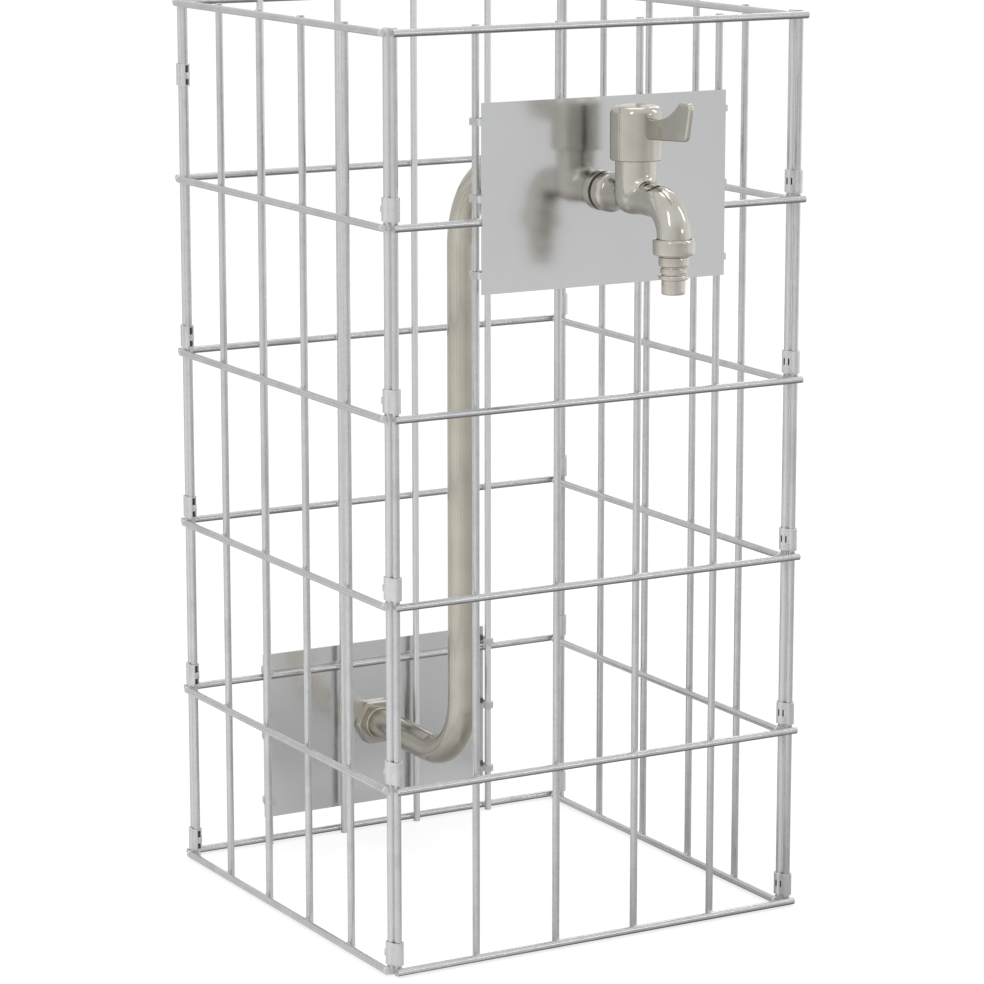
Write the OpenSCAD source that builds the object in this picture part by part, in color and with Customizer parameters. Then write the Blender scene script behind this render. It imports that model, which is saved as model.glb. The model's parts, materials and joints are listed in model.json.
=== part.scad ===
// Garden standpipe: a wire mesh cage that is filled with stones, with a riser
// pipe inside it and a lever tap on its front. Sizes in millimetres, +Z up.
// The ground is z = 0, the tap looks along -Y and the water comes in along +Y.

/* [Mesh cage] */
// Width of one mesh cell
cell_w = 50; // [46:1:56]
// Height of one mesh cell
cell_h = 100; // [90:1:120]
// Thickness of the mesh wire
wire_d = 4; // [3.2:0.1:4.4]
// Depth that two crossing wires sink into each other at a weld
weld_sink = 0.4; // [0.2:0.1:0.8]
// Length of a wire that is left past the last wire it crosses
wire_stub = 0.5; // [0.3:0.1:1.2]
// Gap between two wires that stand side by side at a corner
corner_gap = 0.1; // [0.05:0.01:0.3]
// Sideways offset of the front panel's edge wires
front_shift = 2; // [0:0.1:3]

/* [Corner clips] */
// Height of one clip
clip_h = 12.5; // [9:0.5:18]
// Sheet thickness of a clip
clip_wall = 1; // [0.6:0.1:1.4]
// Clearance between a clip and the wires in it
clip_fit = 0.15; // [0.1:0.01:0.25]
// Height of a clip's lower edge above the nearest rail wire
clip_lift = 3.2; // [2.8:0.1:6]
// Extra height of the odd clip at the back left corner
odd_clip_lift = 50; // [30:1:60]
// Height of the two slots beside a clip's tongue
clip_slot = 1.2; // [0.6:0.1:1.8]
// Length of a clip's tongue
tongue_len = 4.2; // [3:0.1:5]
// Height that a clip's tongue stands out of the sleeve
tongue_out = 0.6; // [0.3:0.1:1]

/* [Plates] */
// Height of a plate
plate_h = 100; // [92:1:120]
// Thickness of a plate
plate_t = 1.5; // [1:0.1:2]
// Clearance between a plate and the rail wires behind it
plate_fit = 0.1; // [0.05:0.01:0.3]
// Height of one hook on a plate's side edges
hook_h = 3.6; // [3:0.1:4.4]
// Sheet thickness of a hook
hook_t = 1.2; // [0.8:0.1:1.4]
// Clearance between a hook and its wire
hook_fit = 0.15; // [0.1:0.01:0.25]
// Height of the outer hooks above and below the middle one
hook_pitch = 40; // [36:0.5:43]
// Gap between the inlet plate's top hooks and the rail wire below them
hook_rail_gap = 0.3; // [0.2:0.05:1]
// Distance that a hook stands out beside its plate's edge
hook_out = 1.2; // [0.8:0.1:1.6]
// Height of the tap above the rail wire below it
tap_above_rail = 12.5; // [12.4:0.1:30]
// Height of the inlet below the rail wire above it
inlet_below_rail = 37.5; // [30:0.5:40]

/* [Riser pipe] */
// Outside width of the pipe
pipe_d = 17.2; // [14:0.1:17.4]
// Wall of the pipe
pipe_wall = 1.6; // [1:0.1:2.3]
// Radius of the pipe's upper bend
upper_bend_r = 48; // [25:1:60]
// Radius of the pipe's lower bend
lower_bend_r = 38; // [25:1:48]
// Distance of the riser behind the middle of the cage
riser_y = 23; // [-10:1:40]
// Clearance of a pipe end in its socket
socket_fit = 0.05; // [0.02:0.01:0.1]
// Depth of a pipe socket
socket_depth = 5; // [3:0.5:8]

/* [Pipe joints] */
// Width of the small joint thread
joint_thread_d = 16.66; // [16:0.01:16.7]
// Clearance of a joint thread in its socket
thread_fit = 0.05; // [0.02:0.01:0.1]
// Clearance of a joint thread in the hole of its plate
plate_hole_fit = 0.25; // [0.1:0.05:0.4]
// Width of the tail at the top of the pipe
tail_d = 19.5; // [18.8:0.1:19.6]
// Length of that tail behind its plate
tail_len = 9; // [8:0.5:14]
// Width across flats of the lower socket
lower_af = 25; // [22:0.5:30]
// Length of the lower socket
lower_len = 7.5; // [7:0.5:12]
// Length of the hexagon on the lower socket
lower_hex_len = 5; // [4:0.5:6]
// Width of the round shoulder on the lower socket
lower_shoulder_d = 20; // [18.8:0.1:22]
// Depth of the lower socket's thread
lower_thread_depth = 3.6; // [3:0.1:4]
// Depth of the pipe's end in the lower socket
lower_socket_depth = 3; // [2:0.1:3]
// Thickness of a flat gasket
gasket_t = 0.8; // [0.5:0.1:1]
// Gap that lets a gasket lie free
gasket_gap = 0.05; // [0.02:0.01:0.1]
// Bore of the water way in the pipe joints
joint_bore = 10; // [7:0.5:10.5]

/* [Inlet] */
// Thickness of the washer on a plate
wall_washer_t = 1; // [0.6:0.1:1.4]
// Width across flats of the inlet connector
inlet_af = 24; // [23:0.5:30]
// Length of the inlet connector's hexagon
inlet_hex_len = 5; // [4:0.5:10]
// Width of the inlet thread
inlet_thread_d = 20.955; // [20.955:0.001:20.955]
// Length of the inlet thread
inlet_thread_len = 13; // [9:0.5:20]

/* [Tap body] */
// Width of the collar on the tap plate
collar_d = 21.2; // [20.4:0.1:26]
// Length of the collar
collar_len = 8; // [8:0.1:10]
// Rounding of the collar's front edge
collar_round = 3; // [1:0.1:3.2]
// Width of the tube between collar and spout
tube_d = 17.5; // [16:0.1:19]
// Distance of the lever's axis in front of the tap plate
lever_axis_x = 30; // [29:0.5:34]
// Width of the barrel below the lever
barrel_d = 22; // [20:0.1:22.4]
// Depth of the barrel's underside below the tap's axis
barrel_low = 9.8; // [9.4:0.1:14]
// Rounding of the barrel's underside
barrel_round = 6; // [3:0.1:8]
// Distance of the outlet in front of the tap plate
outlet_x = 67; // [66:0.5:80]
// Radius of the spout's bend
spout_bend_r = 17.5; // [14:0.5:19]
// Bore of the spout
spout_bore = 11; // [8:0.5:12]
// Width of the outlet thread
outlet_thread_d = 18.8; // [18.8:0.01:18.8]
// Length of the outlet thread
outlet_thread_len = 5.3; // [4:0.1:8]

/* [Cartridge] */
// Width of the cartridge thread
cartridge_d = 15; // [14.6:0.1:15.4]
// Width across flats of the cartridge's head
cartridge_af = 19; // [17:0.5:19]
// Width of the ceramic discs
disc_d = 10.4; // [10:0.1:10.6]
// Clearance of the turning pieces in the cartridge
turn_fit = 0.05; // [0.02:0.01:0.1]
// Width of the spindle
spindle_d = 7; // [6:0.1:7.4]
// Thickness of an O-ring
o_ring_d = 1; // [0.8:0.1:1.2]

/* [Lever] */
// Gap between the barrel and the hood that turns round it
hood_gap = 0.75; // [0.5:0.05:1.5]
// Height of the hood's lower edge above the tap's axis
hood_low = 19.6; // [12:0.1:23]
// Height of the hood's top above the tap's axis
hood_high = 48.5; // [48:0.1:54]
// Rounding of the hood's top edge
hood_round = 4.3; // [1:0.1:5]
// Wall of the hood
hood_wall = 2; // [1.4:0.1:2.2]
// Thickness of the blade
blade_t = 3.2; // [2:0.1:6]
// Reach of the blade from the lever's axis
blade_reach = 53.2; // [46:0.1:70]
// Height of the blade's tip above the tap's axis
blade_high = 53.1; // [52:0.1:58]
// Height of the blade's lower edge above the tap's axis, at its root
blade_low = 31.1; // [30:0.1:33]
// Rise of the blade's lower edge towards its tip
blade_rise = 1.9; // [0:0.1:3]
// Distance of the tip's lower corner behind the tip
blade_foot_back = 7; // [5:0.1:9]
// Rounding of the tip's upper corner
tip_high_round = 3.3; // [2:0.1:4]
// Rounding of the tip's lower corner
tip_low_round = 4; // [3.4:0.1:5]
// Radius of the hollow in the blade's upper edge
blade_hollow_r = 34.2; // [33:0.1:36]
// Distance of the hollow's middle behind the tip
hollow_back = 35.4; // [34:0.1:37]
// Height of the hollow's middle above the tip
hollow_up = 23.3; // [22:0.1:25]
// Width of the grub screw
screw_d = 4; // [3:0.1:4.4]

/* [Hose tail] */
// Width of the union nut
nut_d = 22; // [21:0.1:28]
// Height of the union nut
nut_h = 8.5; // [8.4:0.1:9.5]
// Width of the tail below the nut
stem_d = 15.7; // [14:0.1:15.8]
// Width of the tail's neck
stem_neck_d = 13.9; // [13:0.1:14]
// Width of the tail's tip
tip_d = 12.5; // [11.5:0.1:13]
// Bore of the tail
tail_bore = 9; // [6:0.5:9.5]
// Depth of the tail's lower end below the tap's axis
tail_low = 46.3; // [44:0.1:60]

/* [Hidden] */
$fn = 96;
// A cut runs this far past the face that it opens
over = 1;
// The cage has this many cells across a side and up its height
cells = 5;
wire_r = wire_d / 2;
wire_end = wire_r + wire_stub;
rail_off = wire_d - weld_sink;
cage_half = cells * cell_w / 2;
cage_h = cells * cell_h + 2 * wire_end;
side_edge = cage_half - wire_d - corner_gap;
inner_wires = [-1.5 * cell_w, -0.5 * cell_w, 0.5 * cell_w, 1.5 * cell_w];
front_left_pair = [[front_shift - cage_half, -cage_half], [-cage_half, -side_edge]];
front_right_pair = [[front_shift + cage_half, -cage_half], [cage_half, -side_edge]];
back_left_pair = [[-cage_half, cage_half], [-cage_half, side_edge]];
back_right_pair = [[cage_half, cage_half], [cage_half, side_edge]];
clip_in_r = wire_r + clip_fit;
clip_out_r = clip_in_r + clip_wall;
inlet_hook_lift = wire_r + hook_h / 2 + hook_rail_gap + inlet_below_rail - hook_pitch;
plate_w = 3 * cell_w;
plate_in = cage_half + rail_off + wire_r + plate_fit;
plate_out = plate_in + plate_t;
tap_z = wire_end + 4 * cell_h + tap_above_rail;
inlet_z = wire_end + cell_h - inlet_below_rail;
plate_hole_r = joint_thread_d / 2 + plate_hole_fit;
thread_bore_r = joint_thread_d / 2 + thread_fit;
gasket_r = joint_thread_d / 2 - 0.3;
pipe_r = pipe_d / 2;
pipe_front_y = -plate_in + tail_len - socket_depth;
pipe_back_y = plate_in - lower_len + lower_socket_depth;
// The tap is drawn from the front face of its plate, with x forwards
tap_bore_end = wall_washer_t + collar_len - 0.8;
tap_stub_end = tap_bore_end - gasket_t - gasket_gap;
spout_start_x = outlet_x - spout_bend_r;
outlet_low = -spout_bend_r - outlet_thread_len;
// Heights in the cartridge, from the tap's axis
seat_z = 2;
seal_t = 1;
sleeve_low = seat_z + seal_t;
disc_t = 2.3;
disc_gap = 0.05;
fixed_low = sleeve_low + disc_gap;
moving_low = fixed_low + disc_t + disc_gap;
flange_low = moving_low + disc_t + disc_gap;
flange_t = 2.2;
thread_low = 13;
barrel_top = 26;
head_low = barrel_top + gasket_t + gasket_gap;
head_high = 30.5;
neck_high = 34.5;
clip_ring_low = neck_high + 0.3;
clip_ring_t = 0.8;
hub_low = 36.2;
cavity_high = hood_high - 4;
spindle_high = cavity_high - 0.8;
screw_z = (hub_low + cavity_high) / 2;
chamber_r = disc_d / 2 + turn_fit;
spindle_r = spindle_d / 2;
spindle_bore_r = spindle_r + turn_fit;
o_ring_r = spindle_r - o_ring_d / 2;
o_ring_heights = [19.5, 23];
hub_r = spindle_r + 3;
hood_in_r = barrel_d / 2 + hood_gap;
hood_d = 2 * (hood_in_r + hood_wall);
spindle_flat = 0.4;
// Hose union, from the tap's axis down
nut_high = -spout_bend_r;
nut_low = nut_high - nut_h;
nut_lip_t = 1.25;
nut_bore_r = outlet_thread_d / 2 + 0.05;
nut_hole_r = stem_d / 2 + 0.4;
tail_flange_t = 0.95;
tail_flange_high = nut_low + nut_lip_t + gasket_gap + tail_flange_t;

module at_tap() {
    translate([0, -plate_out, tap_z]) rotate([0, 0, -90]) children();
}

module at_lever() {
    at_tap() translate([lever_axis_x, 0, 0]) children();
}

module at_outlet() {
    at_tap() translate([outlet_x, 0, 0]) children();
}

module at_inlet() {
    translate([0, plate_out, inlet_z]) rotate([0, 0, 90]) children();
}

// A round bar along x, from one place to another
module bar_x(from, to, r) {
    translate([from, 0, 0]) rotate([0, 90, 0]) cylinder(h = to - from, r = r);
}

module ring_x(from, to, r, hole) {
    difference() {
        bar_x(from, to, r);
        bar_x(from - over, to + over, hole);
    }
}

module ring_z(from, to, r, hole) {
    translate([0, 0, from]) difference() {
        cylinder(h = to - from, r = r);
        translate([0, 0, -over]) cylinder(h = to - from + 2 * over, r = hole);
    }
}

module hex_x(from, to, across) {
    translate([from, 0, 0])
        rotate([0, 90, 0])
            rotate([0, 0, 90])
                cylinder(h = to - from, d = across / cos(30), $fn = 6);
}

// One flat panel of welded wire: upright wires in the plane y = 0, rails beside it
module mesh_panel(places, rail_y) {
    first = places[0];
    last = places[len(places) - 1];
    for (x = places) {
        translate([x, 0, 0]) cylinder(h = cage_h, r = wire_r);
    }
    for (k = [0 : cells]) {
        translate([0, rail_y, wire_end + k * cell_h])
            bar_x(first - wire_end, last + wire_end, wire_r);
    }
}

module front_mesh_panel() {
    places = concat([front_shift - cage_half], inner_wires, [front_shift + cage_half]);
    color([0.75, 0.76, 0.77]) translate([0, -cage_half, 0]) mesh_panel(places, -rail_off);
}

module back_mesh_panel() {
    places = concat([-cage_half], inner_wires, [cage_half]);
    color([0.75, 0.76, 0.77]) translate([0, cage_half, 0]) mesh_panel(places, rail_off);
}

// The side panels are drawn along x and turned; only the right one has its rails inside
module side_panel(x) {
    places = concat([-side_edge], inner_wires, [side_edge]);
    color([0.75, 0.76, 0.77])
        translate([x, 0, 0])
            rotate([0, 0, 90])
                mesh_panel(places, rail_off);
}

module left_mesh_panel() {
    side_panel(-cage_half);
}

module right_mesh_panel() {
    side_panel(cage_half);
}

module clip_outline(length, r) {
    circle(r);
    translate([length, 0]) circle(r);
    translate([0, -r]) square([length, 2 * r]);
}

// A sheet sleeve round two wires, with a tongue between two slots on its seam
module corner_clip(pair, seam) {
    span = pair[1] - pair[0];
    length = norm(span);
    slot_z = [clip_h / 3 - clip_slot / 2, 2 * clip_h / 3 - clip_slot / 2];
    translate([pair[0][0], pair[0][1], 0]) rotate([0, 0, atan2(span[1], span[0])]) {
        difference() {
            linear_extrude(clip_h) clip_outline(length, clip_out_r);
            translate([0, 0, -over]) linear_extrude(clip_h + 2 * over) clip_outline(length, clip_in_r);
            for (z = slot_z) {
                translate([(length - tongue_len) / 2, seam * (clip_out_r - clip_wall / 2) - clip_wall, z])
                    cube([tongue_len, 2 * clip_wall, clip_slot]);
            }
        }
        translate([
            (length - tongue_len) / 2,
            seam * (clip_out_r - clip_wall / 4 + tongue_out / 2) - (clip_wall / 2 + tongue_out) / 2,
            slot_z[0] + clip_slot
        ])
            cube([tongue_len, clip_wall / 2 + tongue_out, slot_z[1] - slot_z[0] - clip_slot]);
    }
}

module clip_row(pair, seam, last_lift) {
    color([0.72, 0.73, 0.74])
        for (k = [0 : cells - 1]) {
            lift = k == cells - 1 ? last_lift : 0;
            translate([0, 0, wire_end + k * cell_h + clip_lift + lift]) corner_clip(pair, seam);
        }
}

module front_left_clips() {
    clip_row(front_left_pair, 1, 0);
}

module front_right_clips() {
    clip_row(front_right_pair, 1, 0);
}

module back_left_clips() {
    clip_row(back_left_pair, -1, odd_clip_lift);
}

module back_right_clips() {
    clip_row(back_right_pair, -1, 0);
}

// One hook on the wire at 0, 0, with the plate on the +y side and its edge at x = 0
module hook_outline() {
    in_r = wire_r + hook_fit;
    out_r = in_r + hook_t;
    plate_y = plate_in - cage_half;
    arm_fit = hook_fit / 2;
    polygon([
        [-over, plate_y],
        [-over, plate_y + plate_t],
        [hook_out, plate_y + plate_t],
        [out_r + arm_fit, 0],
        [in_r + arm_fit, 0],
        [hook_out - hook_t / 2, plate_y]
    ]);
    difference() {
        circle(out_r);
        circle(in_r);
        translate([-2 * out_r, 0]) square(4 * out_r);
        rotate(-130) translate([-2 * out_r, -4 * out_r]) square([2 * out_r, 4 * out_r]);
    }
}

// A plate that is hung on the mesh, drawn with its outer side towards +y
module hung_plate(z, hook_lift) {
    difference() {
        translate([-plate_w / 2, plate_in, z - plate_h / 2]) cube([plate_w, plate_t, plate_h]);
        translate([0, plate_in - over, z])
            rotate([-90, 0, 0])
                cylinder(h = plate_t + 2 * over, r = plate_hole_r);
    }
    for (side = [0, 1], step = [-1, 0, 1]) {
        mirror([side, 0, 0])
            translate([plate_w / 2, cage_half, z + hook_lift + step * hook_pitch - hook_h / 2])
                linear_extrude(hook_h)
                    hook_outline();
    }
}

module tap_plate() {
    color([0.78, 0.79, 0.8]) mirror([0, 1, 0]) hung_plate(tap_z, 0);
}

module inlet_plate() {
    color([0.7, 0.71, 0.72]) hung_plate(inlet_z, inlet_hook_lift);
}

// The pipe's riser and its two bends
module pipe_way(r) {
    translate([0, riser_y, inlet_z + lower_bend_r])
        cylinder(h = tap_z - upper_bend_r - inlet_z - lower_bend_r, r = r);
    translate([0, riser_y + lower_bend_r, inlet_z + lower_bend_r])
        rotate([180, 0, 0])
            rotate([90, 0, 90])
                rotate_extrude(angle = 90)
                    translate([lower_bend_r, 0])
                        circle(r);
    translate([0, riser_y - upper_bend_r, tap_z - upper_bend_r])
        rotate([90, 0, 90])
            rotate_extrude(angle = 90)
                translate([upper_bend_r, 0])
                    circle(r);
}

module pipe_run(from, to, z, r) {
    translate([0, from, z]) rotate([-90, 0, 0]) cylinder(h = to - from, r = r);
}

module riser_pipe() {
    bore_r = pipe_r - pipe_wall;
    top_end = riser_y - upper_bend_r;
    low_start = riser_y + lower_bend_r;
    color([0.7, 0.68, 0.63]) difference() {
        union() {
            pipe_way(pipe_r);
            pipe_run(pipe_front_y, top_end, tap_z, pipe_r);
            pipe_run(low_start, pipe_back_y, inlet_z, pipe_r);
        }
        pipe_way(bore_r);
        pipe_run(pipe_front_y - over, top_end, tap_z, bore_r);
        pipe_run(low_start, pipe_back_y + over, inlet_z, bore_r);
    }
}

// Drawn from the plate's front face, so the pipe lies on the -x side
module upper_pipe_tail() {
    back = -plate_t - tail_len;
    color([0.72, 0.7, 0.65]) at_tap() difference() {
        union() {
            bar_x(back, -plate_t, tail_d / 2);
            bar_x(-plate_t - over, tap_stub_end, joint_thread_d / 2);
        }
        bar_x(back - over, back + socket_depth, pipe_r + socket_fit);
        bar_x(back, tap_stub_end + over, joint_bore / 2);
    }
}

module lower_hex_socket() {
    back = -plate_t - lower_len;
    hex_back = -plate_t - lower_hex_len;
    color([0.72, 0.7, 0.65]) at_inlet() difference() {
        union() {
            hex_x(hex_back, -plate_t, lower_af);
            bar_x(back, hex_back + over, lower_shoulder_d / 2);
        }
        bar_x(back - over, back + lower_socket_depth, pipe_r + socket_fit);
        bar_x(back, -plate_t, joint_bore / 2);
        bar_x(-plate_t - lower_thread_depth, -plate_t + over, thread_bore_r);
    }
}

module lower_joint_gasket() {
    start = -plate_t - lower_thread_depth;
    color([0.15, 0.15, 0.16]) at_inlet() ring_x(start, start + gasket_t, gasket_r, joint_bore / 2);
}

module inlet_connector() {
    start = -plate_t - lower_thread_depth + gasket_t + gasket_gap;
    hex_end = wall_washer_t + inlet_hex_len;
    color([0.72, 0.7, 0.65]) at_inlet() difference() {
        union() {
            bar_x(start, wall_washer_t + over, joint_thread_d / 2);
            hex_x(wall_washer_t, hex_end, inlet_af);
            bar_x(hex_end - over, hex_end + inlet_thread_len, inlet_thread_d / 2);
        }
        bar_x(start - over, hex_end + inlet_thread_len + over, joint_bore / 2);
    }
}

module inlet_washer() {
    color([0.13, 0.13, 0.14]) at_inlet() ring_x(0, wall_washer_t, inlet_af / 2 - 0.5, plate_hole_r);
}

module tap_wall_washer() {
    color([0.13, 0.13, 0.14]) at_tap() ring_x(0, wall_washer_t, collar_d / 2 - 0.1, plate_hole_r);
}

module tap_inlet_gasket() {
    color([0.15, 0.15, 0.16]) at_tap()
        ring_x(tap_bore_end - gasket_t, tap_bore_end, gasket_r, joint_bore / 2);
}

module spout_way(r) {
    translate([spout_start_x, 0, -spout_bend_r])
        rotate([90, 0, 0])
            rotate_extrude(angle = 90)
                translate([spout_bend_r, 0])
                    circle(r);
}

module collar_outline() {
    square([collar_d / 2 - collar_round, collar_len]);
    square([collar_d / 2, collar_len - collar_round]);
    translate([collar_d / 2 - collar_round, collar_len - collar_round]) circle(collar_round);
}

module barrel_outline() {
    flat_r = barrel_d / 2 - barrel_round;
    translate([0, -barrel_low]) square([flat_r, barrel_low]);
    translate([0, barrel_round - barrel_low]) square([barrel_d / 2, barrel_top + barrel_low - barrel_round]);
    intersection() {
        translate([flat_r, barrel_round - barrel_low]) circle(barrel_round);
        translate([0, -2 * barrel_low]) square([barrel_d, 4 * barrel_low]);
    }
}

module tap_body() {
    passage_z = -4;
    passage_r = 3;
    link_z = 4;
    seat_hole_r = 3.5;
    chamber_front = lever_axis_x + cartridge_d / 2;
    bore_start = chamber_front + 2.5;
    color([0.74, 0.72, 0.67]) at_tap() difference() {
        union() {
            translate([wall_washer_t, 0, 0]) rotate([0, 90, 0]) rotate_extrude() collar_outline();
            bar_x(wall_washer_t + over, spout_start_x, tube_d / 2);
            translate([lever_axis_x, 0, 0]) rotate_extrude() barrel_outline();
            spout_way(tube_d / 2);
            translate([outlet_x, 0, outlet_low])
                cylinder(h = outlet_thread_len, r = outlet_thread_d / 2);
        }
        bar_x(wall_washer_t - over, tap_bore_end, thread_bore_r);
        bar_x(tap_bore_end - over, lever_axis_x - cartridge_d / 2 - 4.5, joint_bore / 2 - 0.5);
        translate([0, 0, passage_z])
            bar_x(lever_axis_x - cartridge_d / 2 - 6, lever_axis_x + 1, passage_r);
        translate([lever_axis_x, 0, passage_z]) cylinder(h = seat_z - passage_z + over, r = seat_hole_r);
        translate([lever_axis_x, 0, seat_z])
            cylinder(h = barrel_top - seat_z + over, r = cartridge_d / 2 + thread_fit);
        translate([0, 0, link_z]) bar_x(chamber_front - 1, bore_start + 1.5, passage_r);
        bar_x(bore_start, spout_start_x, spout_bore / 2);
        spout_way(spout_bore / 2);
        translate([outlet_x, 0, outlet_low - over])
            cylinder(h = outlet_thread_len + over, r = spout_bore / 2);
    }
}

module cartridge_sleeve() {
    low_r = cartridge_d / 2 - 1.25;
    window_w = 4;
    window_high = 9;
    chamber_high = flange_low + flange_t + 0.3;
    color([0.76, 0.68, 0.45]) at_lever() difference() {
        union() {
            translate([0, 0, sleeve_low]) cylinder(h = thread_low - sleeve_low, r = low_r);
            translate([0, 0, thread_low]) cylinder(h = head_low + over - thread_low, r = cartridge_d / 2);
            translate([0, 0, head_low])
                cylinder(h = head_high - head_low, d = cartridge_af / cos(30), $fn = 6);
            translate([0, 0, head_high - over])
                cylinder(h = neck_high - head_high + over, r = spindle_bore_r + 2);
        }
        translate([0, 0, sleeve_low - over])
            cylinder(h = chamber_high - sleeve_low + over, r = chamber_r);
        translate([0, 0, sleeve_low]) cylinder(h = neck_high - sleeve_low + over, r = spindle_bore_r);
        translate([-cartridge_d, -window_w / 2, sleeve_low - over])
            cube([2 * cartridge_d, window_w, window_high - sleeve_low + over]);
    }
}

module cartridge_washer() {
    color([0.55, 0.2, 0.15]) at_lever()
        ring_z(barrel_top, barrel_top + gasket_t, cartridge_af / 2 - 0.1, cartridge_d / 2 + 0.2);
}

module cartridge_seat_seal() {
    color([0.13, 0.13, 0.14]) at_lever()
        ring_z(seat_z, seat_z + seal_t, cartridge_d / 2 - 1.5, 3.6);
}

module fixed_ceramic_disc() {
    port_r = 1.6;
    port_x = 2.7;
    lug_w = 3;
    color([0.92, 0.92, 0.9]) at_lever() translate([0, 0, fixed_low]) difference() {
        union() {
            cylinder(h = disc_t, r = disc_d / 2);
            translate([-disc_d / 2 - 0.7, -lug_w / 2, 0]) cube([disc_d + 1.4, lug_w, disc_t - 0.5]);
        }
        for (side = [-1, 1]) {
            translate([side * port_x, 0, -over]) cylinder(h = disc_t + 2 * over, r = port_r);
        }
    }
}

module moving_ceramic_disc() {
    notch_w = 3.6;
    notch_in = 0.9;
    drive_w = 2.6;
    drive_deep = 1;
    color([0.9, 0.9, 0.88]) at_lever() translate([0, 0, moving_low]) difference() {
        cylinder(h = disc_t, r = disc_d / 2);
        for (side = [0, 1]) {
            mirror([side, 0, 0])
                translate([notch_in, -notch_w / 2, -over])
                    cube([disc_d, notch_w, disc_t - drive_deep - 0.2 + over]);
        }
        translate([-drive_w / 2, -disc_d, disc_t - drive_deep])
            cube([drive_w, 2 * disc_d, drive_deep + over]);
    }
}

module spindle() {
    drive_w = 2.4;
    drive_deep = 0.9;
    groove_h = o_ring_d + 0.1;
    groove_r = spindle_r - o_ring_d - 0.05;
    color([0.76, 0.68, 0.45]) at_lever() difference() {
        union() {
            translate([0, 0, flange_low]) cylinder(h = flange_t, r = disc_d / 2);
            translate([0, 0, flange_low]) cylinder(h = spindle_high - flange_low, r = spindle_r);
            translate([-drive_w / 2, 1 - disc_d / 2, flange_low - drive_deep])
                cube([drive_w, disc_d - 2, drive_deep + over]);
        }
        for (z = o_ring_heights) {
            ring_z(z - groove_h / 2, z + groove_h / 2, spindle_r + over, groove_r);
        }
        ring_z(clip_ring_low - 0.05, clip_ring_low + clip_ring_t + 0.05, spindle_r + over, spindle_r - 0.6);
        translate([-spindle_r - 2 * over, -spindle_r - over, hub_low + 1])
            cube([2 * over + spindle_flat, 2 * spindle_r + 2 * over, spindle_high]);
    }
}

module spindle_o_rings() {
    color([0.12, 0.12, 0.13]) at_lever()
        for (z = o_ring_heights) {
            translate([0, 0, z]) rotate_extrude() translate([o_ring_r, 0]) circle(o_ring_d / 2, $fn = 48);
        }
}

module spindle_circlip() {
    gap_w = 3;
    color([0.5, 0.5, 0.52]) at_lever() difference() {
        ring_z(clip_ring_low, clip_ring_low + clip_ring_t, spindle_r + 1.3, spindle_r - 0.5);
        translate([0, -gap_w / 2, clip_ring_low - over])
            cube([2 * spindle_r, gap_w, clip_ring_t + 2 * over]);
    }
}

module hood_outline() {
    r = hood_d / 2;
    translate([0, hood_low]) square([r, hood_high - hood_round - hood_low]);
    translate([0, hood_low]) square([r - hood_round, hood_high - hood_low]);
    translate([r - hood_round, hood_high - hood_round]) circle(hood_round);
}

// The blade's outline, x forwards from the lever's axis and y up from the tap's axis
module blade_outline() {
    root = hood_in_r + 0.6;
    high = [blade_reach - tip_high_round, blade_high - tip_high_round];
    foot = [blade_reach - blade_foot_back, blade_low + blade_rise + tip_low_round];
    span = high - foot;
    turn = atan2(span[1], span[0]) - 90 + asin((tip_low_round - tip_high_round) / norm(span));
    side = [cos(turn), sin(turn)];
    difference() {
        union() {
            translate(high) circle(tip_high_round);
            translate(foot) circle(tip_low_round);
            polygon([
                [root, blade_low],
                foot - [0, tip_low_round],
                foot + tip_low_round * side,
                high + tip_high_round * side,
                high + [0, tip_high_round],
                [root, blade_high]
            ]);
        }
        translate([blade_reach - hollow_back, blade_high + hollow_up]) circle(blade_hollow_r);
    }
}

module lever_handle() {
    boss_r = screw_d / 2 + 1.6;
    color([0.74, 0.72, 0.67]) at_lever() difference() {
        union() {
            difference() {
                rotate_extrude() hood_outline();
                translate([0, 0, hood_low - over])
                    cylinder(h = cavity_high - hood_low + over, r = hood_in_r);
            }
            translate([0, 0, hub_low]) cylinder(h = cavity_high - hub_low + over, r = hub_r);
            translate([0, 0, screw_z]) bar_x(-hood_in_r - hood_wall / 2, -spindle_r, boss_r);
            translate([0, blade_t / 2, 0]) rotate([90, 0, 0]) linear_extrude(blade_t) blade_outline();
        }
        translate([0, 0, hub_low - over])
            cylinder(h = spindle_high + 0.3 - hub_low + over, r = spindle_bore_r);
        translate([0, 0, screw_z]) bar_x(-hood_d, 0, screw_d / 2 + thread_fit);
    }
}

module handle_grub_screw() {
    head_x = -hood_d / 2 + 0.8;
    tip_x = -spindle_r + spindle_flat - 0.05;
    key_af = 2;
    color([0.4, 0.4, 0.42]) at_lever() translate([0, 0, screw_z]) difference() {
        bar_x(head_x, tip_x, screw_d / 2);
        hex_x(head_x - over, head_x + 2, key_af);
    }
}

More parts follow.
